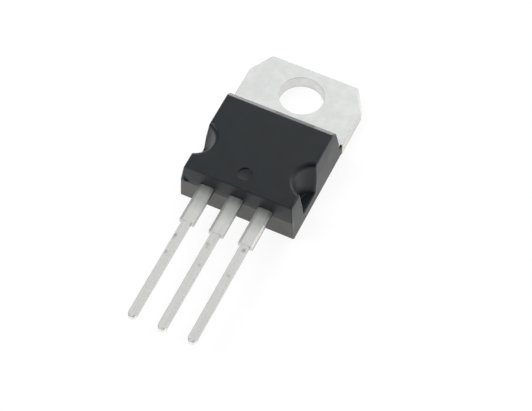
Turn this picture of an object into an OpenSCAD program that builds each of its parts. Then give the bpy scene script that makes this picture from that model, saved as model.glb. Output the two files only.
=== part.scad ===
// Power MOSFET in a three-lead through-hole package with a metal tab.
//
// A copper header carries the die and is at the same time the heatsink tab and
// the drain lead. The gate and source leads are separate. Bond wires join them
// to the die, and a moulded body holds everything together.
//
// Frame: the origin is the centre of the mounting hole on the heatsink face.
// +Z comes out of the front face, +Y runs to the free end of the tab, and the
// leads run towards -Y, with the gate at -X and the source at +X.

/* [Tab and header] */
// Width of the tab
tab_w = 10.12; // [8.4:0.02:12.2]
// Thickness of the tab and of the pad under the die
tab_t = 1.27; // [1.05:0.01:1.54]
// From the hole to the free end of the tab
tab_end = 2.78; // [2.3:0.02:3.4]
// Diameter of the mounting hole
hole_d = 3.8; // [3.1:0.02:4.4]
// Corner cut, measured along the free end
corner_x = 1.14; // [0.2:0.02:2]
// Corner cut, measured down the side
corner_y = 1.98; // [0.2:0.02:2.3]
// From the hole to the step where the header narrows into the body
neck_start = 3.12; // [2.9:0.02:3.3]
// Step in from each side of the tab to the neck
neck_step = 0.21; // [0.1:0.01:0.5]
// Length of the neck, before the header narrows to the pad
neck_l = 0.85; // [0.6:0.05:1.2]
// Height at which the lip that locks the pad into the body starts
lip_z = 0.62; // [0.3:0.02:0.9]
// Reach of that lip past the exposed back of the pad
lip_w = 0.15; // [0.05:0.01:0.25]
// Width of the groove across the front of the header that stops moisture
groove_w = 0.3; // [0.1:0.05:0.4]
// Depth of that groove
groove_t = 0.12; // [0.05:0.01:0.3]

/* [Moulded body] */
// From the hole to the foot of the body on the front of the tab
body_start = 3.46; // [3.4:0.02:4]
// Length of the body, from that foot to the parting line at the lead end
body_l = 9.27; // [7.7:0.01:11.2]
// Height of the parting line, which is the underside of the leads
parting_z = 2.56; // [2.3:0.02:3.1]
// Height of the front half, above the parting line
front_h = 1.72; // [1.42:0.02:2.1]
// Step in from the side of the tab to the side of the body, at the back
side_step = 0.02; // [0:0.01:0.1]
// Lean of each side below the parting line
side_lean_low = 0.15; // [0:0.01:0.25]
// Lean of each side above the parting line
side_lean_high = 0.21; // [0:0.01:0.4]
// Lean of the lead end below the parting line
end_lean_low = 0.27; // [0:0.01:0.4]
// Lean of the lead end above the parting line
end_lean_high = 0.2; // [0:0.01:0.4]
// Lean of the wall at the tab end
tab_wall_lean = 0.47; // [0:0.01:0.6]
// Chamfer at the tab end, measured down from the front face
chamfer_z = 0.63; // [0.3:0.01:0.9]
// Chamfer at the tab end, measured along the front face
chamfer_y = 0.7; // [0.3:0.01:0.9]

/* [Side notches] */
// From the centre of the notches to the lead end of the body
notch_back = 3.31; // [2.8:0.01:3.8]
// From the side of the body, at its back, out to the notch axis
notch_out = 0.19; // [0:0.01:0.5]
// Radius of a notch at the front face
notch_front_r = 1.65; // [1.4:0.01:1.9]
// Radius of a notch at its floor
notch_floor_r = 1.16; // [1:0.01:1.35]
// Height of the notch floor, and of the ledge that runs on below it
ledge_z = 1.1; // [0.7:0.01:1.2]

/* [Mould marks] */
// Diameter of the ejector mark in the front face
ejector_d = 1.15; // [0.8:0.05:2]
// Depth of the ejector mark
ejector_t = 0.12; // [0.05:0.01:0.3]
// From the ejector mark to the lead end of the body
ejector_back = 1.64; // [1.2:0.02:2.4]
// Diameter of the dimple over the gate lead
dimple_d = 0.48; // [0.3:0.02:0.6]
// Depth of the dimple
dimple_t = 0.14; // [0.05:0.01:0.25]
// From the dimple to the side of the body
dimple_side = 0.52; // [0.4:0.02:0.8]
// Height of the dimple above the parting line
dimple_up = 0.38; // [0.34:0.02:0.6]

/* [Leads] */
// Distance between lead centres
lead_pitch = 2.54; // [2.1:0.01:3.05]
// Thickness of the leads
lead_t = 0.46; // [0.36:0.01:0.56]
// Width of the leads next to the body
wide_w = 1.27; // [1.05:0.01:1.53]
// Width of the leads beyond the shoulder
narrow_w = 0.74; // [0.6:0.01:0.9]
// From the body to the shoulder of the leads
wide_l = 3.68; // [3:0.02:4.5]
// From the body to the tip of the leads
lead_l = 13.4; // [11:0.05:16.2]
// Drop of the rolled edges along the wide stretch
roll_t = 0.07; // [0.02:0.01:0.15]
// Corner cut at the tips, measured across the lead
tip_x = 0.18; // [0.05:0.01:0.25]
// Corner cut at the tips, measured along the lead
tip_y = 0.3; // [0.05:0.01:0.6]

/* [Inside the body] */
// Plastic between a notch and the metal beside it
notch_cover = 0.32; // [0.15:0.01:0.6]
// From the lead end of the body to the end of the pad
pad_back = 3.03; // [2.8:0.01:3.3]
// Straight stretch of the drain lead before its crank
crank_start = 0.4; // [0.2:0.02:0.5]
// Length of the crank that lifts the drain lead to the parting line
crank_l = 1.4; // [1:0.02:1.5]
// From the lead end of the body to the bond posts
post_back = 0.85; // [0.6:0.01:1]
// Length of the gate post
gate_post_l = 1.1; // [0.8:0.01:1.35]
// Length of the source post
source_post_l = 1.35; // [0.8:0.01:1.5]
// Gap between the drain lead and a post
post_gap = 0.7; // [0.4:0.01:0.9]
// Width of the die
die_w = 4.4; // [3.6:0.05:5.3]
// Length of the die
die_l = 3.5; // [2.9:0.05:4.2]
// Thickness of the die
die_t = 0.28; // [0.2:0.01:0.4]
// Thickness of the solder under the die
solder_t = 0.05; // [0.02:0.01:0.1]
// Reach of the solder past the edges of the die
solder_edge = 0.12; // [0.05:0.01:0.2]
// Diameter of the source bond wires
source_wire_d = 0.38; // [0.25:0.01:0.46]
// Diameter of the gate bond wire
gate_wire_d = 0.13; // [0.1:0.01:0.2]
// Distance between the two source bond wires
source_wire_gap = 1.05; // [0.85:0.01:1.2]
// Plastic over the top of the wire loops
loop_cover = 0.45; // [0.3:0.01:0.6]
// From the edges of the die to the gate bond
gate_bond_in = 0.45; // [0.3:0.01:0.6]

/* [Hidden] */
$fn = 96;

plastic = "#34393c";
tinned = "#d3d7d3";
silicon = "#5d6675";
solder = "#9ba1a8";
aluminium = "#c6cacd";

over = 1;                                    // how far a cutter runs past a face
lead_top = parting_z + lead_t;
front_z = parting_z + front_h;
body_end = body_start + body_l;

// half widths of the body at the back, the parting line and the front
base_x = tab_w / 2 - side_step;
parting_x = base_x - side_lean_low;
front_x = parting_x - side_lean_high;

// the header, from the tab to the end of the pad
neck_x = tab_w / 2 - neck_step;
neck_end = neck_start + neck_l;
pad_end = body_end - pad_back;
groove_y = (neck_end + body_start + tab_wall_lean) / 2;

// the notches are cones that widen towards the front
notch_x = base_x + notch_out;
notch_y = body_end - notch_back;
notch_slope = (notch_front_r - notch_floor_r) / (front_z - ledge_z);
function notch_r(z) = notch_floor_r + notch_slope * (z - ledge_z);
// how far in from the sides a notch leaves room at a height z and a distance y
function notch_reach(z, y) =
    notch_x - sqrt(max(0, pow(notch_r(z), 2) - pow(y - notch_y, 2)));

pad_x = notch_reach(tab_t, notch_y) - notch_cover;
post_end = body_end - post_back;
post_out = notch_reach(lead_top, post_end - source_post_l) - notch_cover;
post_in = wide_w / 2 + post_gap;

// the stack on the pad
die_z = tab_t + solder_t;
die_top = die_z + die_t;
die_y = (neck_end + pad_end) / 2;

// a bond wire is one arc between two pressed feet, sized by its diameter
foot_w = 1.35;
foot_h = 0.65;
foot_l = 2.2;
foot_lap = 0.6;
loop_z = front_z - loop_cover;

// Centre, along the wire, of the arc that starts a below the top of its loop
// and ends b below it, a distance l away.
function arc_centre(a, b, l) =
    (a * l - sqrt(pow(a * l, 2) - a * (a - b) * (pow(l, 2) - b * (a - b)))) / (a - b);
function arc_radius(a, c) = (pow(c, 2) + pow(a, 2)) / (2 * a);

// Extrudes an outline drawn as [y, z] over a width w, centred on x = 0.
module across(w) {
    rotate([90, 0, 90])
        linear_extrude(w, center = true)
            children();
}

// The same outline on both sides of the symmetry plane.
module both_sides() {
    children();
    mirror([1, 0, 0]) children();
}

// ---- header and leads ----

module tab_outline() {
    polygon([
        [-tab_w / 2 + corner_x, tab_end],
        [-tab_w / 2, tab_end - corner_y],
        [-tab_w / 2, -neck_start],
        [-neck_x, -neck_start],
        [-neck_x, -neck_end],
        [neck_x, -neck_end],
        [neck_x, -neck_start],
        [tab_w / 2, -neck_start],
        [tab_w / 2, tab_end - corner_y],
        [tab_w / 2 - corner_x, tab_end]
    ]);
}

// The part of the header that carries the die, with its locking lip.
module pad() {
    translate([-pad_x + lip_w, -pad_end + lip_w, 0])
        cube([2 * (pad_x - lip_w), pad_end - lip_w - neck_start, tab_t]);
    translate([-pad_x, -pad_end, lip_z])
        cube([2 * pad_x, pad_end - neck_start, tab_t - lip_z]);
}

// The strip that climbs from the pad to the parting line.
module crank() {
    low = tab_t - lead_t;
    foot = pad_end + crank_start;
    head = foot + crank_l;
    slope = atan((parting_z - low) / crank_l);
    mitre = lead_t * tan(slope / 2);
    across(wide_w)
        polygon([
            [-pad_end + over, low],
            [-foot, low],
            [-head, parting_z],
            [-post_end, parting_z],
            [-post_end, lead_top],
            [-head + mitre, lead_top],
            [-foot + mitre, tab_t],
            [-pad_end + over, tab_t]
        ]);
}

// A lead outside the body, with its root just inside.
module lead_blade() {
    shoulder = body_end + wide_l;
    tip = body_end + lead_l;
    // wide stretch, with its front edges rolled over by the shear
    translate([0, -post_end, 0])
        rotate([90, 0, 0])
            linear_extrude(shoulder - post_end)
                polygon([
                    [-wide_w / 2, parting_z],
                    [wide_w / 2, parting_z],
                    [wide_w / 2, lead_top - roll_t],
                    [narrow_w / 2, lead_top],
                    [-narrow_w / 2, lead_top],
                    [-wide_w / 2, lead_top - roll_t]
                ]);
    // narrow stretch with its pointed tip
    translate([0, 0, parting_z])
        linear_extrude(lead_t)
            polygon([
                [-narrow_w / 2, -shoulder + over],
                [-narrow_w / 2, -tip + tip_y],
                [-narrow_w / 2 + tip_x, -tip],
                [narrow_w / 2 - tip_x, -tip],
                [narrow_w / 2, -tip + tip_y],
                [narrow_w / 2, -shoulder + over]
            ]);
}

// A separate lead at +X with its bond post inside the body.
module outer_lead(post_l) {
    translate([lead_pitch, 0, 0]) lead_blade();
    translate([post_in, -post_end, parting_z])
        cube([post_out - post_in, post_l, lead_t]);
}

module drain_header() {
    color(tinned)
        difference() {
            union() {
                linear_extrude(tab_t) tab_outline();
                pad();
                crank();
                lead_blade();
            }
            translate([0, 0, -over])
                cylinder(d = hole_d, h = tab_t + 2 * over);
            translate([-neck_x - over, -groove_y - groove_w / 2, tab_t - groove_t])
                cube([2 * (neck_x + over), groove_w, groove_t + over]);
        }
}

module gate_lead() {
    color(tinned) mirror([1, 0, 0]) outer_lead(gate_post_l);
}

module source_lead() {
    color(tinned) outer_lead(source_post_l);
}

// ---- die and wires ----

module silicon_die() {
    color(silicon)
        translate([-die_w / 2, -die_y - die_l / 2, die_z])
            cube([die_w, die_l, die_t]);
}

module die_solder() {
    color(solder)
        translate([-die_w / 2 - solder_edge, -die_y - die_l / 2 - solder_edge, tab_t])
            cube([die_w + 2 * solder_edge, die_l + 2 * solder_edge, solder_t]);
}

// A pressed foot whose wire leaves it at the origin, towards +X.
module bond_foot(d) {
    translate([-d * (foot_l - foot_lap), -d * foot_w / 2, 0])
        cube([d * foot_l, d * foot_w, d * foot_h]);
}

// A wire of diameter d from the point p on the die to the point q on a post.
module bond_wire(p, q, d) {
    run = norm(q - p);
    turn = atan2(q[1] - p[1], q[0] - p[0]);
    start_z = die_top + d / 2;
    end_z = lead_top + d / 2;
    top_z = loop_z - d / 2;
    centre = arc_centre(top_z - start_z, top_z - end_z, run);
    radius = arc_radius(top_z - start_z, centre);
    from = atan2(end_z - top_z + radius, run - centre);
    to = 360 + atan2(start_z - top_z + radius, -centre);
    sweep = to > 360 ? to - from - 360 : to - from;
    color(aluminium)
        translate([p[0], p[1], 0])
            rotate([0, 0, turn]) {
                translate([0, 0, die_top]) bond_foot(d);
                translate([run, 0, lead_top]) mirror([1, 0, 0]) bond_foot(d);
                translate([centre, 0, top_z - radius])
                    rotate([90, 0, 0])
                        rotate([0, 0, from])
                            rotate_extrude(angle = sweep)
                                translate([radius, 0])
                                    circle(d = d);
            }
}

// bonds on the die and in the middle of the posts, as [x, y]
post_x = (post_in + post_out) / 2;
gate_pad = [-die_w / 2 + gate_bond_in, -die_y - die_l / 2 + gate_bond_in];
gate_post = [-post_x, gate_post_l / 2 - post_end];
source_pad = [die_w / 4, -die_y];
source_post = [post_x, source_post_l / 2 - post_end];

module gate_bond_wire() {
    bond_wire(gate_pad, gate_post, gate_wire_d);
}

// The source wires lie side by side, half their distance from a common line.
module source_bond_wire(side) {
    shift = [side * source_wire_gap / 2, 0];
    bond_wire(source_pad + shift, source_post + shift, source_wire_d);
}

module source_bond_wire_1() { source_bond_wire(-1); }
module source_bond_wire_2() { source_bond_wire(1); }

// ---- moulded body ----

// Section along the body: drafted end walls and the chamfer at the tab end.
module body_profile() {
    polygon([
        [-body_end + end_lean_low, 0],
        [-body_end, parting_z],
        [-body_end + end_lean_high, front_z],
        [-body_start - tab_wall_lean - chamfer_y, front_z],
        [-body_start - tab_wall_lean, front_z - chamfer_z],
        [-body_start, tab_t],
        [-body_start, ledge_z],
        [-neck_start, ledge_z],
        [-neck_start, 0]
    ]);
}

// Section across the body: sides that lean in towards the front.
module body_section() {
    polygon([
        [-base_x, 0],
        [base_x, 0],
        [parting_x, parting_z],
        [front_x, front_z],
        [-front_x, front_z],
        [-parting_x, parting_z]
    ]);
}

// One notch at +X, with its cone carried on past the front face.
module notch() {
    depth = front_z - ledge_z + over;
    translate([notch_x, -notch_y, ledge_z])
        cylinder(h = depth, r1 = notch_floor_r, r2 = notch_r(front_z + over));
}

module body_shape() {
    difference() {
        intersection() {
            across(tab_w + 2 * over) body_profile();
            rotate([90, 0, 0])
                linear_extrude(body_end + over)
                    body_section();
        }
        both_sides() notch();
        translate([0, -body_end + ejector_back, front_z - ejector_t])
            cylinder(d = ejector_d, h = ejector_t + over);
        translate([-parting_x + dimple_side, -body_end + dimple_t, parting_z + dimple_up])
            rotate([90, 0, 0])
                cylinder(d = dimple_d, h = over);
    }
}

module mould_body() {
    color(plastic)
        difference() {
            body_shape();
            drain_header();
            gate_lead();
            source_lead();
            die_solder();
            silicon_die();
            gate_bond_wire();
            source_bond_wire_1();
            source_bond_wire_2();
        }
}

mould_body();
drain_header();
gate_lead();
source_lead();
silicon_die();
die_solder();
gate_bond_wire();
source_bond_wire_1();
source_bond_wire_2();
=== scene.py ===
# A three-lead power MOSFET with a metal tab, lying on its back on a white table.
# All sizes are in metres, in the frame of the CAD model: the origin is the mounting
# hole's centre on the heatsink face, +Z leaves the front face, the leads run to -Y.

import math

import bmesh
import bpy
from mathutils import Matrix, Vector
from mathutils.bvhtree import BVHTree


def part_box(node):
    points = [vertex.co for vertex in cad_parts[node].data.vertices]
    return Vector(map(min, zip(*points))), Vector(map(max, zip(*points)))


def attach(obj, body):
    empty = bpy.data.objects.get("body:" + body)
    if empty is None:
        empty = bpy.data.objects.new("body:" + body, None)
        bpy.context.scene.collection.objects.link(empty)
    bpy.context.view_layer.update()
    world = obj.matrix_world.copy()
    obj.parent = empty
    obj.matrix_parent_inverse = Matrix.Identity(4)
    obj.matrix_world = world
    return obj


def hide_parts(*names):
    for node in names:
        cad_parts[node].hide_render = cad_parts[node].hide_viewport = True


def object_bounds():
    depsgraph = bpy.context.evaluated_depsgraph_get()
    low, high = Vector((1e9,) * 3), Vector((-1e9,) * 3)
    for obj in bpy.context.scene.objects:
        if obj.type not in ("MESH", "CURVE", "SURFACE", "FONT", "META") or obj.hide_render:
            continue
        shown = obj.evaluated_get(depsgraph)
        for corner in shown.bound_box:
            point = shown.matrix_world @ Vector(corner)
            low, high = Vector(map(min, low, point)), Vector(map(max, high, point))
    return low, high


MM = 0.001
UM = 0.000001

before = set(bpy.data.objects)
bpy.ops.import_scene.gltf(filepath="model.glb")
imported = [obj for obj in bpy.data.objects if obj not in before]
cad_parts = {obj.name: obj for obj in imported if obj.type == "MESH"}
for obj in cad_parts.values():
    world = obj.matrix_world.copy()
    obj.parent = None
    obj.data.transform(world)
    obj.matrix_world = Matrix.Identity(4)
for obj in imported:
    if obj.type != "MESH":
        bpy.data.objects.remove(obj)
cad_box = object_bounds()
scene = bpy.context.scene
scene.view_settings.view_transform = "Standard"

BODY = "root"

# ---- camera ----

CAMERA_AIM = Vector((5.389, -19.412, 14.226)) * MM
CAMERA_DISTANCE = 168.39 * MM
CAMERA_AZIMUTH = math.radians(22.668)
CAMERA_ELEVATION = math.radians(55.593)
CAMERA_ROLL = math.radians(2.778)
SENSOR_WIDTH = 36.0
LENS = 156.31
NEAREST = 1 * MM
FARTHEST = 10.0


def make_camera():
    """A long lens that looks down on the part over its source lead."""
    across = Vector((math.cos(CAMERA_AZIMUTH), math.sin(CAMERA_AZIMUTH), 0))
    back = Vector((math.sin(CAMERA_AZIMUTH) * math.cos(CAMERA_ELEVATION),
                   -math.cos(CAMERA_AZIMUTH) * math.cos(CAMERA_ELEVATION),
                   math.sin(CAMERA_ELEVATION)))
    up = back.cross(across)
    right = math.cos(CAMERA_ROLL) * across + math.sin(CAMERA_ROLL) * up
    top = math.cos(CAMERA_ROLL) * up - math.sin(CAMERA_ROLL) * across
    turn = Matrix((right, top, back)).transposed().to_4x4()
    data = bpy.data.cameras.new("camera")
    data.sensor_width = SENSOR_WIDTH
    data.sensor_fit = "HORIZONTAL"
    data.lens = LENS
    data.clip_start = NEAREST
    data.clip_end = FARTHEST
    camera = bpy.data.objects.new("camera", data)
    camera.matrix_world = Matrix.Translation(CAMERA_AIM + back * CAMERA_DISTANCE) @ turn
    scene.collection.objects.link(camera)
    scene.camera = camera


# ---- nodes ----

def wire(tree, value, socket):
    """Links an output or a number to a socket, or sets the socket to a plain value."""
    if isinstance(value, Number):
        value = value.socket
    if isinstance(value, bpy.types.NodeSocket):
        tree.links.new(value, socket)
    else:
        socket.default_value = value


def add(tree, kind, settings=None, **sockets):
    """A node with its settings and its socket values, where _ stands for a space."""
    node = tree.nodes.new(kind)
    for key, value in (settings or {}).items():
        setattr(node, key, value)
    for key, value in sockets.items():
        wire(tree, value, node.inputs[key.replace("_", " ")])
    return node


def worked(tree, operation, *values):
    """The result of a sum or another operation on numbers."""
    node = tree.nodes.new("ShaderNodeMath")
    node.operation = operation
    for value, socket in zip(values, node.inputs):
        wire(tree, value, socket)
    return Number(tree, node.outputs[0])


class Number:
    """A number that a node puts out. It adds, multiplies and compares as a plain one does."""

    def __init__(self, tree, socket):
        self.tree, self.socket = tree, socket

    def __add__(self, other):
        return worked(self.tree, "ADD", self, other)

    def __sub__(self, other):
        return worked(self.tree, "SUBTRACT", self, other)

    def __rsub__(self, other):
        return worked(self.tree, "SUBTRACT", other, self)

    def __mul__(self, other):
        return worked(self.tree, "MULTIPLY", self, other)

    def __truediv__(self, other):
        return worked(self.tree, "DIVIDE", self, other)

    def __pow__(self, other):
        return worked(self.tree, "POWER", self, other)

    def __abs__(self):
        return worked(self.tree, "ABSOLUTE", self)

    def at_least(self, other):
        return worked(self.tree, "MAXIMUM", self, other)

    def at_most(self, other):
        return worked(self.tree, "MINIMUM", self, other)

    def above(self, other):
        """1 where it is above the other number, else 0."""
        return worked(self.tree, "GREATER_THAN", self, other)

    def remap(self, low, high, to_low=0.0, to_high=1.0):
        """Turns the range low..high into to_low..to_high, and stops at its ends."""
        node = add(self.tree, "ShaderNodeMapRange", Value=self, From_Min=low, From_Max=high,
                   To_Min=to_low, To_Max=to_high)
        return Number(self.tree, node.outputs["Result"])

    def past(self, zone, least=0.0, most=1.0):
        """Goes from least to most over a zone, given as its two ends in mm."""
        return self.remap(zone[0] * MM, zone[1] * MM, least, most)

    __radd__ = __add__
    __rmul__ = __mul__


def apart(tree, vector):
    """The three numbers of a vector."""
    node = add(tree, "ShaderNodeSeparateXYZ", Vector=vector)
    return [Number(tree, output) for output in node.outputs]


def together(tree, x, y, z):
    """A vector of three numbers."""
    return add(tree, "ShaderNodeCombineXYZ", X=x, Y=y, Z=z).outputs[0]


# ---- shader helpers ----

def new_material(name):
    """A material with its tree and its one shader."""
    material = bpy.data.materials.new(name)
    material.use_nodes = True
    tree = material.node_tree
    tree.nodes.clear()
    shader = add(tree, "ShaderNodeBsdfPrincipled")
    add(tree, "ShaderNodeOutputMaterial", Surface=shader.outputs["BSDF"])
    return material, tree, shader


def mix(tree, kind, inputs, output, values):
    """A blend by a Mix node, whose sockets go by number because their names repeat."""
    node = add(tree, "ShaderNodeMix", {"data_type": kind})
    for value, socket in zip(values, inputs):
        wire(tree, value, node.inputs[socket])
    return node.outputs[output]


def mix_colour(tree, factor, first, second):
    return mix(tree, "RGBA", (0, 6, 7), 2, (factor, first, second))


def mix_number(tree, factor, first, second):
    return mix(tree, "FLOAT", (0, 2, 3), 0, (factor, first, second))


def attribute(tree, name):
    node = add(tree, "ShaderNodeAttribute", {"attribute_name": name})
    return Number(tree, node.outputs["Fac"])


def object_point(tree):
    return tree.nodes.new("ShaderNodeTexCoord").outputs["Object"]


def bump(tree, shader, height, distance):
    node = add(tree, "ShaderNodeBump", Strength=1.0, Distance=distance, Height=height)
    wire(tree, node.outputs["Normal"], shader.inputs["Normal"])


def shader_group(name, inputs, outputs):
    """An empty shader group with number inputs {name: value} and number outputs [name]."""
    group = bpy.data.node_groups.new(name, "ShaderNodeTree")
    for socket, value in inputs.items():
        made = group.interface.new_socket(socket, in_out="INPUT", socket_type="NodeSocketFloat")
        made.default_value = value
    for socket in outputs:
        group.interface.new_socket(socket, in_out="OUTPUT", socket_type="NodeSocketFloat")
    given = group.nodes.new("NodeGroupInput").outputs
    result = group.nodes.new("NodeGroupOutput").inputs
    return group, {socket: Number(group, given[socket]) for socket in inputs}, result


def use_group(tree, group, **values):
    """The numbers that a shader group puts out, by name."""
    node = add(tree, "ShaderNodeGroup", {"node_tree": group}, **values)
    return {output.name: Number(tree, output) for output in node.outputs}


# ---- effects that more than one finish has ----

def grain_group():
    """Fine grain and slow mottling, sized in grains per metre."""
    group, given, result = shader_group(
        "surface_grain", {"Grain": 20000.0, "Mottle": 900.0}, ["Fine", "Slow"])
    point = object_point(group)
    fine = add(group, "ShaderNodeTexNoise", Vector=point, Scale=given["Grain"],
               Detail=3.0, Roughness=0.6)
    slow = add(group, "ShaderNodeTexNoise", Vector=point, Scale=given["Mottle"],
               Detail=4.0, Roughness=0.55)
    wire(group, fine.outputs["Fac"], result["Fine"])
    wire(group, slow.outputs["Fac"], result["Slow"])
    return group


def streak_group():
    """Lines drawn along Y by rolling, at a chosen number per metre across."""
    group, given, result = shader_group(
        "drawn_streaks", {"Lines": 9000.0, "Stretch": 0.03}, ["Streak"])
    x, y, z = apart(group, object_point(group))
    lines = add(group, "ShaderNodeTexNoise", Vector=together(group, x, y * given["Stretch"], z),
                Scale=given["Lines"], Detail=3.0, Roughness=0.55)
    wire(group, lines.outputs["Fac"], result["Streak"])
    return group


EDGE_ON = 0.1


def wall_group():
    """1 on walls, which face sideways, down to 0 on faces that face up by more than a level."""
    group, given, result = shader_group("upright_wall", {"Level": 0.5}, ["Wall"])
    facing = apart(group, group.nodes.new("ShaderNodeNewGeometry").outputs["Normal"])[2]
    wire(group, abs(facing).remap(EDGE_ON, given["Level"], 1.0, 0.0), result["Wall"])
    return group


GRAIN = grain_group()
STREAKS = streak_group()
WALLS = wall_group()

# ---- places on the body ----

FRONT = cad_box[1][2]
PARTING = 2.56 * MM
NOTCH = Vector((5.23, -9.42, 0)) * MM
NOTCH_FLOOR_RADIUS = 1.16 * MM
NOTCH_FRONT_RADIUS = 1.65 * MM
LEDGE = 1.1 * MM
EJECTOR = Vector((0, -11.09, 0)) * MM
DIMPLE = Vector((-4.37, 0, 2.94)) * MM
SLOPE_TOP = -4.63 * MM
END_WALL_FOOT = Vector((0, -12.73, 2.56)) * MM
END_WALL_LEAN = 0.20 / 1.72

# ---- moulding compound ----

# Where a look starts and where it is full, in mm along Y or Z, or out from the notch's wall.
SLOPE_ALONG = (-4.74, -4.66)
SLOPE_UP = (3.50, 3.60)
NOTCH_RIM = (0.02, 0.12)
UNDER_LEDGE = (1.10, 1.02)
LEAD_END = (-12.35, -12.45)
UNDER_PARTING = (2.56, 2.46)

# What the polished slope takes from the roughness, and the gloss that it has instead.
SLOPE_POLISH = 0.23
SLOPE_GLOSS = 0.42
SLOPE_GLOSS_ROUGHNESS = 0.12


def moulding_compound():
    """Black filled epoxy: half gloss in front, matt on the walls, grey from scuffing at the lead
    end. The side walls are painted darker and the end wall lighter, as painted shade and light,
    and the lead end below the parting line is painted lighter still as a painted reflection of the
    white table.
    """
    material, tree, shader = new_material("moulding_compound")
    grain = use_group(tree, GRAIN, Grain=12000.0, Mottle=700.0)
    x, y, z = apart(tree, object_point(tree))
    mottle = grain["Slow"].remap(0.35, 0.65)
    front = mix_colour(tree, mottle, (0.0, 0.0032, 0.0062, 1), (0.001, 0.0052, 0.0082, 1))
    # The side walls' colour is painted darker and the end wall's lighter: painted shade and light
    # for how each wall is lit, on one compound.
    side = mix_colour(tree, mottle, (0.003, 0.005, 0.006, 1), (0.010, 0.012, 0.013, 1))
    end = mix_colour(tree, mottle, (0.017, 0.019, 0.022, 1), (0.025, 0.027, 0.030, 1))
    # The lead end below the parting line: grey from scuffing, and painted lighter as a painted
    # reflection of the white table.
    scuffed_and_painted_lighter = mix_colour(tree, mottle, (0.088, 0.085, 0.082, 1), (0.118, 0.114, 0.110, 1))

    wall = use_group(tree, WALLS, Level=0.6)["Wall"]
    from_axis = ((abs(x) - NOTCH.x) ** 2 + (y - NOTCH.y) ** 2) ** 0.5
    notch_radius = z.remap(LEDGE, FRONT, NOTCH_FLOOR_RADIUS, NOTCH_FRONT_RADIUS)
    outside_notch = (from_axis - notch_radius).past(NOTCH_RIM).at_least(z.past(UNDER_LEDGE))
    slope = y.past(SLOPE_ALONG) * z.past(SLOPE_UP) * (1.0 - wall)
    at_end = y.past(LEAD_END)
    matt = mix_colour(tree, at_end, side, end)
    colour = mix_colour(tree, (wall * outside_notch).at_least(slope), front, matt)
    colour = mix_colour(tree, at_end * z.past(UNDER_PARTING), colour, scuffed_and_painted_lighter)
    wire(tree, colour, shader.inputs["Base Color"])
    shader.inputs["Specular IOR Level"].default_value = 0.43
    rough = grain["Slow"].remap(0.3, 0.7, 0.35, 0.43) - slope * SLOPE_POLISH
    wire(tree, rough, shader.inputs["Roughness"])
    wire(tree, slope * SLOPE_GLOSS, shader.inputs["Coat Weight"])
    shader.inputs["Coat Roughness"].default_value = SLOPE_GLOSS_ROUGHNESS
    bump(tree, shader, grain["Fine"], 0.7 * UM)
    return material


# ---- metals ----

# Where a look starts and where it is full, in mm along Y, or along Z or X where the name says
# up or across. The line between torn and whole metal wavers with the mottling.
OUT_OF_BODY = (-12.0, -12.5)
LEAD_SHADE = (-15.3, -14.3)
ROOT_SHADE = (-13.6, -12.7)
ACROSS_TAB = (2.5, 4.5)
TORN_UP = (0.42, 0.34)
TORN_WAVER = 0.3 * MM
TRIM_START = (-13.3, -14.2)
TRIM_END = (-16.40, -16.34)
CUT_TIP = (-25.80, -25.84)

STAIN_AND_SHADE_STRENGTH = 0.8
STREAK_HEIGHT = 1.2


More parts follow.
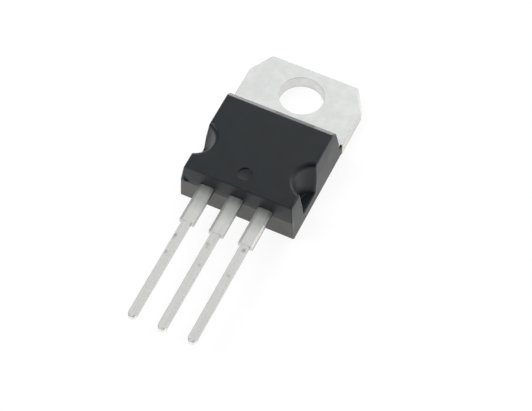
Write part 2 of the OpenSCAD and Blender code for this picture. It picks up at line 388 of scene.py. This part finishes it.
def plated_copper(name):
    """Matt tin over copper: mottled on the tab, drawn along the leads, copper where it was cut."""
    material, tree, shader = new_material(name)
    grain = use_group(tree, GRAIN, Grain=12000.0, Mottle=1100.0)
    streak = use_group(tree, STREAKS, Lines=9000.0, Stretch=0.03)["Streak"]
    wall = use_group(tree, WALLS, Level=0.6)["Wall"]
    x, y, z = apart(tree, object_point(tree))
    slow = grain["Slow"]
    on_lead = y.past(OUT_OF_BODY)

    # plating
    tab = mix_colour(tree, slow.remap(0.38, 0.62), (0.64, 0.66, 0.65, 1), (0.725, 0.735, 0.725, 1))
    speckle = grain["Fine"].remap(0.4, 0.65, 0.0, 0.4)
    tab = mix_colour(tree, speckle, tab, (0.79, 0.79, 0.78, 1))
    lead = mix_colour(tree, streak.remap(0.35, 0.65),
                      (0.60, 0.605, 0.59, 1), (0.655, 0.66, 0.65, 1))
    colour = mix_colour(tree, on_lead, tab, lead)
    # Painted shade: the leads darken towards the body, most at their roots.
    root = y.past(LEAD_SHADE, most=0.2) + y.past(ROOT_SHADE, most=0.5)
    colour = mix_colour(tree, root * on_lead, colour, (0.17, 0.20, 0.185, 1))

    # the tab's stamped walls: warm near the front face, torn near the back
    tab_wall = wall * (1.0 - on_lead)
    off_centre = abs(x).past(ACROSS_TAB, least=0.2)
    warm = tab_wall * off_centre * slow.remap(0.40, 0.62, 0.0, 0.7)
    colour = mix_colour(tree, warm, colour, (0.84, 0.77, 0.64, 1))
    torn = tab_wall * off_centre * (z + slow * TORN_WAVER).past(TORN_UP, most=0.75)
    colour = mix_colour(tree, torn, colour, (0.42, 0.40, 0.37, 1))

    # the leads' trimmed walls, and the cut tips' end walls near white as a painted highlight
    trimmed = y.past(TRIM_START) * y.past(TRIM_END)
    bare = wall * trimmed * streak.remap(0.42, 0.6, 0.3, 1.0) * attribute(tree, "bare")
    colour = mix_colour(tree, bare, colour, (0.24, 0.17, 0.125, 1))
    colour = mix_colour(tree, wall * y.past(CUT_TIP), colour, (0.90, 0.90, 0.88, 1))

    # stains and dents, painted shade on the leads' left strips and right walls' roots, and a
    # painted highlight along a right strip
    mark = attribute(tree, "mark")
    stain_and_shade, strip_highlight = mark.at_least(0.0), (mark * -1.0).at_least(0.0)
    # Stains and dents, and painted shade on the left strips and at the right walls' roots.
    colour = mix_colour(tree, stain_and_shade * STAIN_AND_SHADE_STRENGTH, colour, (0.16, 0.16, 0.15, 1))
    # The painted highlight along a right strip.
    colour = mix_colour(tree, strip_highlight, colour, (0.93, 0.93, 0.91, 1))

    wire(tree, colour, shader.inputs["Base Color"])
    shader.inputs["Metallic"].default_value = 1.0
    rough = mix_number(tree, wall, slow.remap(0.3, 0.7, 0.52, 0.62), 0.35)
    wire(tree, rough, shader.inputs["Roughness"])
    bump(tree, shader, grain["Fine"] + streak * on_lead * STREAK_HEIGHT, 0.5 * UM)
    return material


DEEPER = 0.8
UNEVEN = 0.05


def plain_metal(name, colour, roughness):
    """A metal that the moulding compound hides, a little uneven in colour and gloss."""
    material, tree, shader = new_material(name)
    grain = use_group(tree, GRAIN, Grain=9000.0, Mottle=2500.0)
    deep = tuple(DEEPER * c for c in colour[:3]) + (1,)
    wire(tree, mix_colour(tree, grain["Slow"], deep, colour), shader.inputs["Base Color"])
    shader.inputs["Metallic"].default_value = 1.0
    rough = grain["Fine"].remap(0.3, 0.7, roughness - UNEVEN, roughness + UNEVEN)
    wire(tree, rough, shader.inputs["Roughness"])
    bump(tree, shader, grain["Fine"], 0.4 * UM)
    return material


# ---- pieces ----

def bake_modifiers(piece):
    """Turns the piece and its modifiers into a plain mesh."""
    bpy.context.view_layer.update()
    graph = bpy.context.evaluated_depsgraph_get()
    mesh = bpy.data.meshes.new_from_object(piece.evaluated_get(graph), depsgraph=graph)
    piece.modifiers.clear()
    piece.data = mesh


SAME_POINT = 0.1 * UM
FLAT = math.radians(0.5)


def merged_copy(node):
    """The node's faces as one merged surface, with its flat faces whole."""
    work = bmesh.new()
    work.from_mesh(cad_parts[node].data)
    bmesh.ops.remove_doubles(work, verts=work.verts, dist=SAME_POINT)
    bmesh.ops.dissolve_limit(work, angle_limit=FLAT, verts=work.verts, edges=work.edges)
    work.normal_update()
    return work


def rounded(work, width_of):
    """Rounds each edge of the surface by its own width, and gives the new surface."""
    layer = work.edges.layers.float.new("bevel_weight_edge")
    for edge in work.edges:
        edge[layer] = width_of(edge)
    widest = max(edge[layer] for edge in work.edges)
    for edge in work.edges:
        edge[layer] = edge[layer] / widest
    mesh = bpy.data.meshes.new("rounding")
    work.to_mesh(mesh)
    work.free()
    holder = bpy.data.objects.new("rounding", mesh)
    scene.collection.objects.link(holder)
    rounding = holder.modifiers.new("rounded edges", "BEVEL")
    rounding.limit_method = "WEIGHT"
    rounding.width = widest
    rounding.segments = 3
    rounding.use_clamp_overlap = False
    rounding.miter_outer = "MITER_ARC"
    bake_modifiers(holder)
    result = bmesh.new()
    result.from_mesh(holder.data)
    bpy.data.objects.remove(holder)
    return result


CREASE = math.radians(38)


def finished(work, name, node, material):
    """Makes the surface a piece with even shading, which stands for a CAD node."""
    bmesh.ops.recalc_face_normals(work, faces=work.faces)
    for face in work.faces:
        face.smooth = True
    for edge in work.edges:
        edge.smooth = not (edge.is_manifold and edge.calc_face_angle(0) > CREASE)
    mesh = bpy.data.meshes.new(name)
    work.to_mesh(mesh)
    work.free()
    mesh.materials.clear()
    mesh.materials.append(material)
    piece = bpy.data.objects.new(name, mesh)
    scene.collection.objects.link(piece)
    even = piece.modifiers.new("even shading", "WEIGHTED_NORMAL")
    even.keep_sharp = True
    bake_modifiers(piece)
    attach(piece, BODY)
    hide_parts(node)


# ---- geometry trees ----

INPUT_KINDS = {
    float: "NodeSocketFloat",
    tuple: "NodeSocketVector",
    type(None): "NodeSocketMaterial",
}


def geometry_tree(name, inputs):
    """A geometry tree that takes a mesh and named inputs {name: value} and puts out a mesh."""
    tree = bpy.data.node_groups.new(name, "GeometryNodeTree")
    tree.interface.new_socket("Geometry", in_out="INPUT", socket_type="NodeSocketGeometry")
    for socket, value in inputs.items():
        made = tree.interface.new_socket(
            socket, in_out="INPUT", socket_type=INPUT_KINDS[type(value)])
        if value is not None:
            made.default_value = value
    tree.interface.new_socket("Geometry", in_out="OUTPUT", socket_type="NodeSocketGeometry")
    given = tree.nodes.new("NodeGroupInput").outputs
    sockets = {name: Number(tree, given[name]) for name in inputs}
    sockets["Geometry"] = given["Geometry"]
    return tree, sockets, tree.nodes.new("NodeGroupOutput").inputs["Geometry"]


def hand_over(tree, mesh, finish, result):
    """Ends a geometry tree with real geometry in its finish."""
    real = add(tree, "GeometryNodeRealizeInstances", Geometry=mesh)
    coated = add(tree, "GeometryNodeSetMaterial", Geometry=real.outputs[0], Material=finish)
    wire(tree, coated.outputs[0], result)


def grown(tree, mesh, values):
    """What a geometry tree makes of a mesh and its inputs, as a plain mesh."""
    holder = bpy.data.objects.new(tree.name, mesh)
    scene.collection.objects.link(holder)
    maker = holder.modifiers.new(tree.name, "NODES")
    maker.node_group = tree
    for item in tree.interface.items_tree:
        if item.in_out == "INPUT" and item.name in values:
            maker[item.identifier] = values[item.name]
    bake_modifiers(holder)
    plain = holder.data
    bpy.data.objects.remove(holder)
    return plain


# ---- leads ----

LEAD_PITCH = 2.54 * MM
LEAD_TOP = 3.02 * MM
LEAD_BACK = PARTING
LEAD_JOIN = -12.2 * MM
SHOULDER = -16.41 * MM
LEAD_TIP = -26.13 * MM
WIDE_HALF = 0.635 * MM
NARROW_HALF = 0.37 * MM
LEAD_CORNER = 0.03 * MM
STRIP = 0.265 * MM

# Each lead's place, the drop of its rolled strips in mm (left, right), how dark the painted shade
# on its left strip is, how bright the painted highlight along its right strip is, how bare its
# trimmed walls are, how dark the painted shade on its right wall is at the root, and its marks as
# (across, along, radius in mm, depth).
LEADS = {
    "gate": {
        "x": -LEAD_PITCH, "drops": (0.085, 0.05),
        "left_strip_shade": 0.22, "strip_highlight": 0.0, "bare": 0.45, "root": 0.9,
        "marks": ((-0.22, -17.95, 0.14, 0.70), (-0.24, -18.17, 0.12, 0.35),
                  (-0.20, -19.66, 0.15, 0.40)),
    },
    "drain": {
        "x": 0.0, "drops": (0.09, 0.05),
        "left_strip_shade": 0.22, "strip_highlight": 0.0, "bare": 0.5, "root": 0.35,
        "marks": ((-0.12, -17.60, 0.14, 0.45), (0.00, -17.64, 0.10, 0.35),
                  (-0.06, -17.90, 0.11, 0.35), (0.16, -19.67, 0.13, 0.38)),
    },
    "source": {
        "x": LEAD_PITCH, "drops": (0.09, 0.07),
        "left_strip_shade": 0.12, "strip_highlight": 0.7, "bare": 1.0, "root": 0.2,
        "marks": ((0.13, -16.93, 0.15, 0.70), (0.05, -19.56, 0.13, 0.40)),
    },
}
# Darker, slightly dented spots at the two top corners of each lead's tip.
TIP_CORNER_SPOTS = ((-0.25, -26.02, 0.09, 0.6), (0.25, -26.02, 0.09, 0.6))

QUARTER_TURN = [math.radians(30 * k) for k in range(4)]
ROLL_PARTS = (0.2, 0.4, 0.6, 0.8)
ROLL_POWER = 1.1
TOP_POINTS = 15


def blade_edge(drop):
    """Points (across, height) round one side of the wide blade, from its back to its top."""
    inset = WIDE_HALF - LEAD_CORNER
    low = LEAD_BACK + LEAD_CORNER
    high = LEAD_TOP - drop - LEAD_CORNER
    points = [(inset + LEAD_CORNER * math.sin(turn), low - LEAD_CORNER * math.cos(turn))
              for turn in QUARTER_TURN]
    points.append((WIDE_HALF, (LEAD_BACK + LEAD_TOP - drop) / 2))
    points += [(inset + LEAD_CORNER * math.cos(turn), high + LEAD_CORNER * math.sin(turn))
               for turn in QUARTER_TURN]
    points += [(inset - (STRIP - LEAD_CORNER) * part, LEAD_TOP - drop * (1 - part) ** ROLL_POWER)
               for part in ROLL_PARTS]
    return points


def lead_outline(drops):
    """The wide blade's section (across, height) as a ring of edges, with its rolled strips."""
    left, right = (blade_edge(drop * MM) for drop in drops)
    inner = WIDE_HALF - STRIP
    points = [(-x, z) for x, z in left]
    points += [(inner * (2 * k / (TOP_POINTS - 1) - 1), LEAD_TOP) for k in range(TOP_POINTS)]
    points += reversed(right)
    ring = bpy.data.meshes.new("lead_outline")
    ring.from_pydata([(x, z, 0) for x, z in points],
                     [(k, (k + 1) % len(points)) for k in range(len(points))], [])
    return ring


# The length between stations along a blade, how many stations crowd together at its shoulder
# and its tip, how much of the strips' drop the narrow pin keeps, and how its ends shrink.
STATION = 0.06 * MM
SHOULDER_CROWD = 4
SHOULDER_CROWD_POWER = 1.5
TIP_CROWD = 2
NARROW_ROLL = 0.14
TIP_TAPER_ACROSS = 0.1
TIP_TAPER_HEIGHT = 0.13
JOIN_TAPER = 0.004


def lead_tree():
    """A blade that follows -Y: wide up to its shoulder, then a narrow pin with a cut tip."""
    tree, given, result = geometry_tree("lead_blade", {
        "Place": 0.0, "Join": LEAD_JOIN, "Shoulder": SHOULDER, "Tip": LEAD_TIP,
        "Station": STATION, "Wide Half": WIDE_HALF, "Narrow Half": NARROW_HALF,
        "Corner": LEAD_CORNER, "Cut Across": 0.18 * MM, "Cut Along": 0.30 * MM,
        "Back": LEAD_BACK, "Top": LEAD_TOP, "Step": 0.014 * MM, "Finish": None})
    place = tree.nodes.new("GeometryNodeInputPosition").outputs[0]
    x, y, z = apart(tree, place)
    from_shoulder = y - given["Shoulder"]
    from_tip = y - given["Tip"]

    # the path, with stations that crowd at the shoulder and the tip
    line = add(tree, "GeometryNodeCurvePrimitiveLine", Start=together(tree, 0, given["Join"], 0),
               End=together(tree, 0, given["Tip"], 0))
    stations = add(tree, "GeometryNodeResampleCurve", {"mode": "LENGTH"}, Curve=line.outputs[0],
                   Length=given["Station"])
    by_shoulder = (abs(from_shoulder) / (given["Station"] * SHOULDER_CROWD)).at_most(1.0)
    by_tip = (from_tip / (given["Station"] * TIP_CROWD)).at_most(1.0)
    crowd = from_shoulder * (by_shoulder ** SHOULDER_CROWD_POWER - 1.0)
    crowd = crowd + from_tip * (by_tip - 1.0)
    path = add(tree, "GeometryNodeSetPosition", Geometry=stations.outputs[0],
               Offset=together(tree, 0, crowd, 0))
    level = add(tree, "GeometryNodeSetCurveNormal", {"mode": "FREE"}, Curve=path.outputs[0],
                Normal=(1, 0, 0))
    outline = add(tree, "GeometryNodeMeshToCurve", Mesh=given["Geometry"])
    blade = add(tree, "GeometryNodeCurveToMesh", Curve=level.outputs[0],
                Profile_Curve=outline.outputs[0], Fill_Caps=True)

    # its width and height at each station
    wide = from_shoulder.above(0.0)
    near = (1.0 - abs(from_shoulder) / given["Corner"]).at_least(0.0)
    fillet = given["Corner"] * (1.0 - (1.0 - near * near) ** 0.5)
    half = given["Narrow Half"] + wide * (given["Wide Half"] - given["Narrow Half"])
    half = half + fillet * (1.0 - wide * 2.0)
    half = half - given["Cut Across"] * (1.0 - from_tip / given["Cut Along"]).at_least(0.0)
    join_taper = (y - given["Join"]).above(-1 * UM) * JOIN_TAPER
    at_tip = 1.0 - from_tip.above(1 * UM)
    centre_z = (given["Back"] + given["Top"]) * 0.5
    drop = (given["Top"] - z) * (wide + (1.0 - wide) * NARROW_ROLL)
    top = given["Top"] - given["Step"] * (1.0 - wide) - drop
    height = z + z.above(centre_z) * (top - z)
    height = centre_z + (height - centre_z) * (1.0 - join_taper - at_tip * TIP_TAPER_HEIGHT)
    across = x * half / given["Wide Half"] * (1.0 - join_taper - at_tip * TIP_TAPER_ACROSS)
    across = given["Place"] + across
    shaped = add(tree, "GeometryNodeSetPosition", Geometry=blade.outputs[0],
                 Position=together(tree, across, y, height))
    hand_over(tree, shaped.outputs[0], given["Finish"], result)
    return tree


LEAD_BLADE = lead_tree()

# How long the marks are for their width, how deep they dent, how far down from a lead's top
# they and the rolled strips reach, how wide the painted highlight line and a side wall's skin are,
# and where the painted shade at the root ends and the painted highlight starts.
MARK_STRETCH = 0.8
MARK_DENT = 0.02 * MM
MARK_REACH = 0.12 * MM
STRIP_REACH = 0.15 * MM
STRIP_LAP = 0.02 * MM
HIGHLIGHT_WIDTH = 0.14 * MM
WALL_SKIN = 0.01 * MM
ROOT_END = -13.75 * MM
HIGHLIGHT_START = -14.1 * MM


def mark_amount(across, y, marks):
    """How strongly the nearest mark shows at a place on a lead's top, from 0 to 1."""
    strongest = 0.0
    for mark_x, mark_y, radius, depth in marks:
        away = math.hypot(across - mark_x * MM, (y - mark_y * MM) * MARK_STRETCH) / (radius * MM)
        strongest = max(strongest, depth * math.exp(-away ** 3))
    return strongest


def stain_shade_and_dent(lead, across, y, z):
    """How much stain or painted shade (above 0), or painted highlight (below 0), a lead has at a
    place, and how dented.
    """
    dent = 0.0
    if z > LEAD_TOP - MARK_REACH:
        dent = mark_amount(across, y, lead["marks"] + TIP_CORNER_SPOTS)
    on_strip = (abs(across) > WIDE_HALF - STRIP + STRIP_LAP
                and z > LEAD_TOP - STRIP_REACH and y > SHOULDER)
    # Painted shade on the left rolled strip.
    if on_strip and across < 0:
        return max(dent, lead["left_strip_shade"]), dent
    # Painted shade on the right wall near the body.
    if across > WIDE_HALF - WALL_SKIN and y > ROOT_END:
        return max(dent, lead["root"]), dent
    # A painted highlight along the right rolled strip.
    if on_strip and across > WIDE_HALF - HIGHLIGHT_WIDTH and y < HIGHLIGHT_START:
        return -lead["strip_highlight"], dent
    return dent, dent


def add_lead(work, lead, material):
    """Adds a lead's blade to a surface, and joins it to the open end at LEAD_JOIN."""
    mark = work.verts.layers.float.new("mark")
    bare = work.verts.layers.float.new("bare")
    outline = lead_outline(lead["drops"])
    corners = len(outline.vertices)
    # New points can take the places of deleted ones, so they aren't simply the last ones.
    old = set(work.verts)
    work.from_mesh(grown(LEAD_BLADE, outline, {"Place": lead["x"], "Finish": material}))
    blade = [vert for vert in work.verts if vert not in old]
    caps = [face for face in work.faces
            if len(face.verts) == corners and face.calc_center_median().y > LEAD_JOIN - UM]
    bmesh.ops.delete(work, geom=caps, context="FACES_ONLY")
    for vert in blade:
        stain, dent = stain_shade_and_dent(lead, vert.co.x - lead["x"], vert.co.y, vert.co.z)
        vert[mark] = stain
        vert[bare] = lead["bare"]
        vert.co.z -= MARK_DENT * dent
    bmesh.ops.recalc_face_normals(work, faces=work.faces)
    bmesh.ops.bridge_loops(work, edges=[edge for edge in work.edges if edge.is_boundary])


ON_PLANE = 0.05 * UM


def cut_off_lead(work):
    """Takes away what lies outside LEAD_JOIN and leaves the end open."""
    everything = work.verts[:] + work.edges[:] + work.faces[:]
    bmesh.ops.bisect_plane(work, geom=everything, dist=ON_PLANE, plane_co=(0, LEAD_JOIN, 0),
                           plane_no=(0, -1, 0), clear_outer=True)


SHARP = math.radians(15)


def sharp(edge):
    return edge.is_manifold and edge.calc_face_angle(0) > SHARP


def middle(edge):
    return (edge.verts[0].co + edge.verts[1].co) / 2


def direction(edge):
    return (edge.verts[1].co - edge.verts[0].co).normalized()


# Widths of the rounding on the tab: round its back, up its corners, round its hole's mouth,
# along its corner cuts and along its straight sides.
BACK_ROLL = 0.03 * MM
UPRIGHT_ROLL = 0.05 * MM
HOLE_ROLL = 0.035 * MM
CUT_ROLL = 0.16 * MM
SIDE_ROLL = 0.07 * MM
NEAR_BACK = 0.1 * MM
NEAR_HOLE = 2.5 * MM
INTO_BODY = -3.0 * MM
UPRIGHT = 0.9
SLANTING = (0.2, 0.98)


def tab_rounding(edge):
    """Die roll on the tab's stamped outline, most at its corner cuts. The rest stays sharp."""
    point, along = middle(edge), direction(edge)
    if not sharp(edge) or point.y < INTO_BODY:
        return 0.0
    if point.z < NEAR_BACK:
        return BACK_ROLL
    if abs(along.z) > UPRIGHT:
        return UPRIGHT_ROLL
    if math.hypot(point.x, point.y) < NEAR_HOLE:
        return HOLE_ROLL
    slanting = SLANTING[0] < abs(along.x) < SLANTING[1]
    return CUT_ROLL if slanting else SIDE_ROLL


def make_header(material):
    work = merged_copy("drain_header")
    cut_off_lead(work)
    work = rounded(work, tab_rounding)
    add_lead(work, LEADS["drain"], material)
    finished(work, "header_and_drain_lead", "drain_header", material)


def make_lead(side, material):
    work = merged_copy(side + "_lead")
    cut_off_lead(work)
    add_lead(work, LEADS[side], material)
    finished(work, side + "_lead_plated", side + "_lead", material)


# ---- moulded body ----

def metal_surfaces():
    """One search tree over everything that is embedded in the body."""
    joined = bmesh.new()
    for name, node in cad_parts.items():
        if name != "mould_body":
            joined.from_mesh(node.data)
    tree = BVHTree.FromBMesh(joined)
    joined.free()
    return tree


EMBEDDED = metal_surfaces()
CONTACT = 15 * UM

# The dimple as it is drawn: where it sits, how much wider and taller it is than the CAD
# model's, and how its floor is shrunk and moved across and up.
DIMPLE_SEAT = Vector((-4.34, 0, 2.98)) * MM
DIMPLE_GROWTH = (1.15, 1.65)
FLOOR_SHRINK = 0.75
FLOOR_SHIFT = (-0.05 * MM, -0.09 * MM)
FLOOR_DEPTH = 0.02 * MM
DIMPLE_REACH = (0.4 * MM, 0.5 * MM)
END_WALL_LIMIT = -12.3 * MM
OVER_PARTING = 0.01 * MM


def end_wall(z):
    """Where the sloping wall at the lead end stands at a height."""
    return END_WALL_FOOT.y + (z - END_WALL_FOOT.z) * END_WALL_LEAN


def in_dimple(point):
    across, up = abs(point.x - DIMPLE.x), abs(point.z - DIMPLE.z)
    return (across < DIMPLE_REACH[0] and up < DIMPLE_REACH[1]
            and point.y < END_WALL_LIMIT and point.z > PARTING + OVER_PARTING)


def settle_dimple(work):
    """Sets the dimple on the sloping lead end, a little larger, with its floor low on the left."""
    for vert in work.verts:
        if not in_dimple(vert.co):
            continue
        depth = vert.co.y - end_wall(vert.co.z)
        across = (vert.co.x - DIMPLE.x) * DIMPLE_GROWTH[0]
        up = (vert.co.z - DIMPLE.z) * DIMPLE_GROWTH[1]
        if depth > FLOOR_DEPTH:
            across = across * FLOOR_SHRINK + FLOOR_SHIFT[0]
            up = up * FLOOR_SHRINK + FLOOR_SHIFT[1]
        vert.co.x = DIMPLE_SEAT.x + across
        vert.co.z = DIMPLE_SEAT.z + up
        vert.co.y = end_wall(vert.co.z) + depth


# Widths of the rounding on the mould's edges: in its marks, at the top of the polished slope,
# below the front face, round the front face and where that meets a notch.
MARK_RADIUS = 0.04 * MM
SLOPE_RADIUS = 0.05 * MM
LOW_RADIUS = 0.11 * MM
FRONT_RADIUS = 0.26 * MM
NOTCH_RADIUS = 0.36 * MM
EJECTOR_REACH = (0.7 * MM, 0.2 * MM)
NOTCH_REACH = 1.9 * MM
CLOSE = 0.05 * MM
STRAIGHT = 0.99


def mould_rounding(edge):
    """Rounding of the body's edges. Where metal leaves the body its edge stays sharp."""
    point, along = middle(edge), direction(edge)
    if not sharp(edge) or EMBEDDED.find_nearest(point)[3] < CONTACT:
        return 0.0
    in_ejector = (math.hypot(point.x, point.y - EJECTOR.y) < EJECTOR_REACH[0]
                  and point.z > FRONT - EJECTOR_REACH[1])
    if in_ejector or in_dimple(point):
        return MARK_RADIUS
    if abs(along.x) > STRAIGHT and abs(point.y - SLOPE_TOP) < CLOSE:
        return SLOPE_RADIUS
    if point.z < FRONT - CLOSE:
        return LOW_RADIUS
    beside_notch = math.hypot(abs(point.x) - NOTCH.x, point.y - NOTCH.y) < NOTCH_REACH
    return NOTCH_RADIUS if beside_notch else FRONT_RADIUS


def make_body(material):
    work = merged_copy("mould_body")
    settle_dimple(work)
    work = rounded(work, mould_rounding)
    finished(work, "moulded_body", "mould_body", material)


# ---- die and bond wires, inside the body ----

# Sizes and places as the CAD model has them. A foot's sizes are in wire diameters.
GATE_WIRE = 0.13 * MM
SOURCE_WIRE = 0.38 * MM
SOURCE_WIRE_GAP = 1.05 * MM
GATE_PAD_INSET = 0.45 * MM
POST_LENGTH = {"gate": 1.1 * MM, "source": 1.35 * MM}
LOOP_TOP = 3.83 * MM
FOOT_LENGTH, FOOT_WIDTH, FOOT_HEIGHT = 2.2, 1.35, 0.65
FOOT_BACK, FOOT_SINK = 0.5, 0.175


def bond_wire_tree():
    """A round wire in one arc from the die to a lead, between two pressed feet."""
    tree, given, result = geometry_tree("bond_wire", {
        "Die Bond": (0.0, 0.0, 0.0), "Loop Top": (0.001, 0.0, 0.001),
        "Post Bond": (0.002, 0.0, 0.0), "Diameter": GATE_WIRE, "Finish": None})
    thick = given["Diameter"]
    start, end = given["Die Bond"].socket, given["Post Bond"].socket
    arc = add(tree, "GeometryNodeCurveArc", {"mode": "POINTS"}, Resolution=49, Start=start,
              Middle=given["Loop Top"], End=end)
    section = add(tree, "GeometryNodeCurvePrimitiveCircle", Resolution=24, Radius=thick * 0.5)
    loop = add(tree, "GeometryNodeCurveToMesh", Curve=arc.outputs["Curve"],
               Profile_Curve=section.outputs["Curve"], Fill_Caps=True)

    block = add(tree, "GeometryNodeMeshCube", Size=together(
        tree, thick * FOOT_LENGTH, thick * FOOT_WIDTH, thick * FOOT_HEIGHT))
    pressed = add(tree, "GeometryNodeSubdivisionSurface", Mesh=block.outputs["Mesh"], Level=3,
                  Edge_Crease=0.6)
    foot = add(tree, "GeometryNodeTransform", Geometry=pressed.outputs[0],
               Translation=together(tree, thick * -FOOT_BACK, 0, thick * -FOOT_SINK))
    bonds = add(tree, "GeometryNodeMeshLine", {"mode": "END_POINTS"}, Count=2,
                Start_Location=start, Offset=end)
    run = tree.nodes.new("ShaderNodeVectorMath")
    run.operation = "SUBTRACT"
    wire(tree, end, run.inputs[0])
    wire(tree, start, run.inputs[1])
    run_x, run_y = apart(tree, run.outputs[0])[:2]
    index = Number(tree, tree.nodes.new("GeometryNodeInputIndex").outputs[0])
    turn = worked(tree, "ARCTAN2", run_y, run_x) + index * math.pi
    feet = add(tree, "GeometryNodeInstanceOnPoints", Points=bonds.outputs[0],
               Instance=foot.outputs[0], Rotation=together(tree, 0, 0, turn))
    real_feet = add(tree, "GeometryNodeRealizeInstances", Geometry=feet.outputs[0])
    fused = add(tree, "GeometryNodeMeshBoolean", {"operation": "UNION", "solver": "EXACT"})
    for piece in (loop.outputs[0], real_feet.outputs[0]):
        tree.links.new(piece, fused.inputs["Mesh 2"])
    hand_over(tree, fused.outputs["Mesh"], given["Finish"], result)
    return tree


BOND_WIRE = bond_wire_tree()


def loop_top(start, end, height):
    """The highest point of an arc of a circle from start to end that rises to a height."""
    run = Vector((end.x - start.x, end.y - start.y, 0))
    a, b, length = height - start.z, height - end.z, run.length
    under = (a * length) ** 2 - a * (a - b) * (length ** 2 - b * (a - b))
    along = (a * length - math.sqrt(under)) / (a - b)
    top = start + run * (along / length)
    top.z = height
    return top


def make_bond_wire(node, side, pad, shift, diameter, material):
    """A wire from a pad on the die to the middle of a lead's post, both shifted across."""
    post_low, post_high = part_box(side + "_lead")
    die_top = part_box("silicon_die")[1][2]
    start = Vector((pad[0] + shift, pad[1], die_top + diameter / 2))
    end = Vector(((post_low[0] + post_high[0]) / 2 + shift, post_high[1] - POST_LENGTH[side] / 2,
                  LEAD_TOP + diameter / 2))
    top = loop_top(start, end, LOOP_TOP - diameter / 2)
    mesh = grown(BOND_WIRE, bpy.data.meshes.new(node), {
        "Die Bond": start, "Loop Top": top, "Post Bond": end, "Diameter": diameter,
        "Finish": material})
    work = bmesh.new()
    work.from_mesh(mesh)
    finished(work, node + "_drawn", node, material)


def make_wires(material):
    (low_x, low_y, _), (high_x, high_y, _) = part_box("silicon_die")
    gate_pad = (low_x + GATE_PAD_INSET, low_y + GATE_PAD_INSET)
    source_pad = (high_x / 2, (low_y + high_y) / 2)
    make_bond_wire("gate_bond_wire", "gate", gate_pad, 0.0, GATE_WIRE, material)
    for number, side in ((1, -1), (2, 1)):
        make_bond_wire("source_bond_wire_%d" % number, "source", source_pad,
                       side * SOURCE_WIRE_GAP / 2, SOURCE_WIRE, material)


def make_part():
    make_body(moulding_compound())
    make_header(plated_copper("tinned_header"))
    lead_tin = plated_copper("tinned_leads")
    make_lead("gate", lead_tin)
    make_lead("source", lead_tin)
    make_wires(plain_metal("bond_wire", (0.80, 0.81, 0.82, 1), 0.25))
    inner = {
        "silicon_die": plain_metal("silicon", (0.30, 0.33, 0.38, 1), 0.3),
        "die_solder": plain_metal("solder", (0.45, 0.46, 0.48, 1), 0.45),
    }
    for node, material in inner.items():
        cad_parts[node].data.materials.clear()
        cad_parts[node].data.materials.append(material)


# ---- table and light ----

WHITE = (1, 1, 1, 1)
PAPER = (0.9, 0.9, 0.9, 1)
TABLE_HALF = 0.75
TABLE_GAP = 0.01 * MM
TABLE_GLOW = 1.05
GLOW_SHARE = 0.85


def mix_shader(tree, factor, first, second):
    node = add(tree, "ShaderNodeMixShader", Fac=factor)
    wire(tree, first, node.inputs[1])
    wire(tree, second, node.inputs[2])
    return node.outputs[0]


def make_table():
    """A white table that keeps a faint shadow."""
    corners = [(-TABLE_HALF, -TABLE_HALF, 0), (TABLE_HALF, -TABLE_HALF, 0),
               (TABLE_HALF, TABLE_HALF, 0), (-TABLE_HALF, TABLE_HALF, 0)]
    mesh = bpy.data.meshes.new("table")
    mesh.from_pydata(corners, [], [(0, 1, 2, 3)])
    table = bpy.data.objects.new("table", mesh)
    table.location.z = -TABLE_GAP
    scene.collection.objects.link(table)
    material = bpy.data.materials.new("table_white")
    material.use_nodes = True
    tree = material.node_tree
    tree.nodes.clear()
    paper = add(tree, "ShaderNodeBsdfDiffuse", Color=PAPER).outputs[0]
    white = add(tree, "ShaderNodeEmission", Color=WHITE, Strength=TABLE_GLOW).outputs[0]
    path = tree.nodes.new("ShaderNodeLightPath").outputs
    seen = Number(tree, path["Is Camera Ray"])
    seen = seen.at_least(path["Is Glossy Ray"]).at_least(path["Is Transmission Ray"])
    lit = mix_shader(tree, GLOW_SHARE, paper, white)
    add(tree, "ShaderNodeOutputMaterial", Surface=mix_shader(tree, seen, paper, lit))
    mesh.materials.append(material)


SKY_LEAN = 0.35
SKY_DARK, SKY_LIGHT = 0.10, 1.0


def make_world():
    """A soft studio that is light behind the part and dim on the camera's side."""
    world = bpy.data.worlds.new("studio")
    world.use_nodes = True
    tree = world.node_tree
    tree.nodes.clear()
    x, y, _ = apart(tree, tree.nodes.new("ShaderNodeTexCoord").outputs["Generated"])
    level = (x * SKY_LEAN + y).remap(-0.3, 0.7, SKY_DARK, SKY_LIGHT)
    light = add(tree, "ShaderNodeBackground", Color=WHITE, Strength=level).outputs[0]
    white = add(tree, "ShaderNodeBackground", Color=WHITE, Strength=1.0).outputs[0]
    seen = tree.nodes.new("ShaderNodeLightPath").outputs["Is Camera Ray"]
    add(tree, "ShaderNodeOutputWorld", Surface=mix_shader(tree, seen, light, white))
    scene.world = world


LAMP_AIM = Vector((0, -10, 0)) * MM
LAMP_DISTANCE = 0.6


def make_lamp(name, azimuth, elevation, size, power):
    """A soft box that faces the part. The angles are in degrees, azimuth from +X."""
    data = bpy.data.lights.new(name, "AREA")
    data.shape = "RECTANGLE"
    data.size, data.size_y = size
    data.energy = power
    turn, rise = math.radians(azimuth), math.radians(elevation)
    way = Vector((math.cos(turn) * math.cos(rise), math.sin(turn) * math.cos(rise),
                  math.sin(rise)))
    lamp = bpy.data.objects.new(name, data)
    lamp.location = LAMP_AIM + way * LAMP_DISTANCE
    lamp.rotation_euler = (-way).to_track_quat("-Z", "Y").to_euler()
    scene.collection.objects.link(lamp)


def make_studio():
    make_world()
    make_table()
    make_lamp("back_box", 85, 32, (0.6, 0.17), 0.8)
    make_lamp("front_left_box", 210, 55, (0.35, 0.35), 2.0)


make_camera()
make_part()
make_studio()
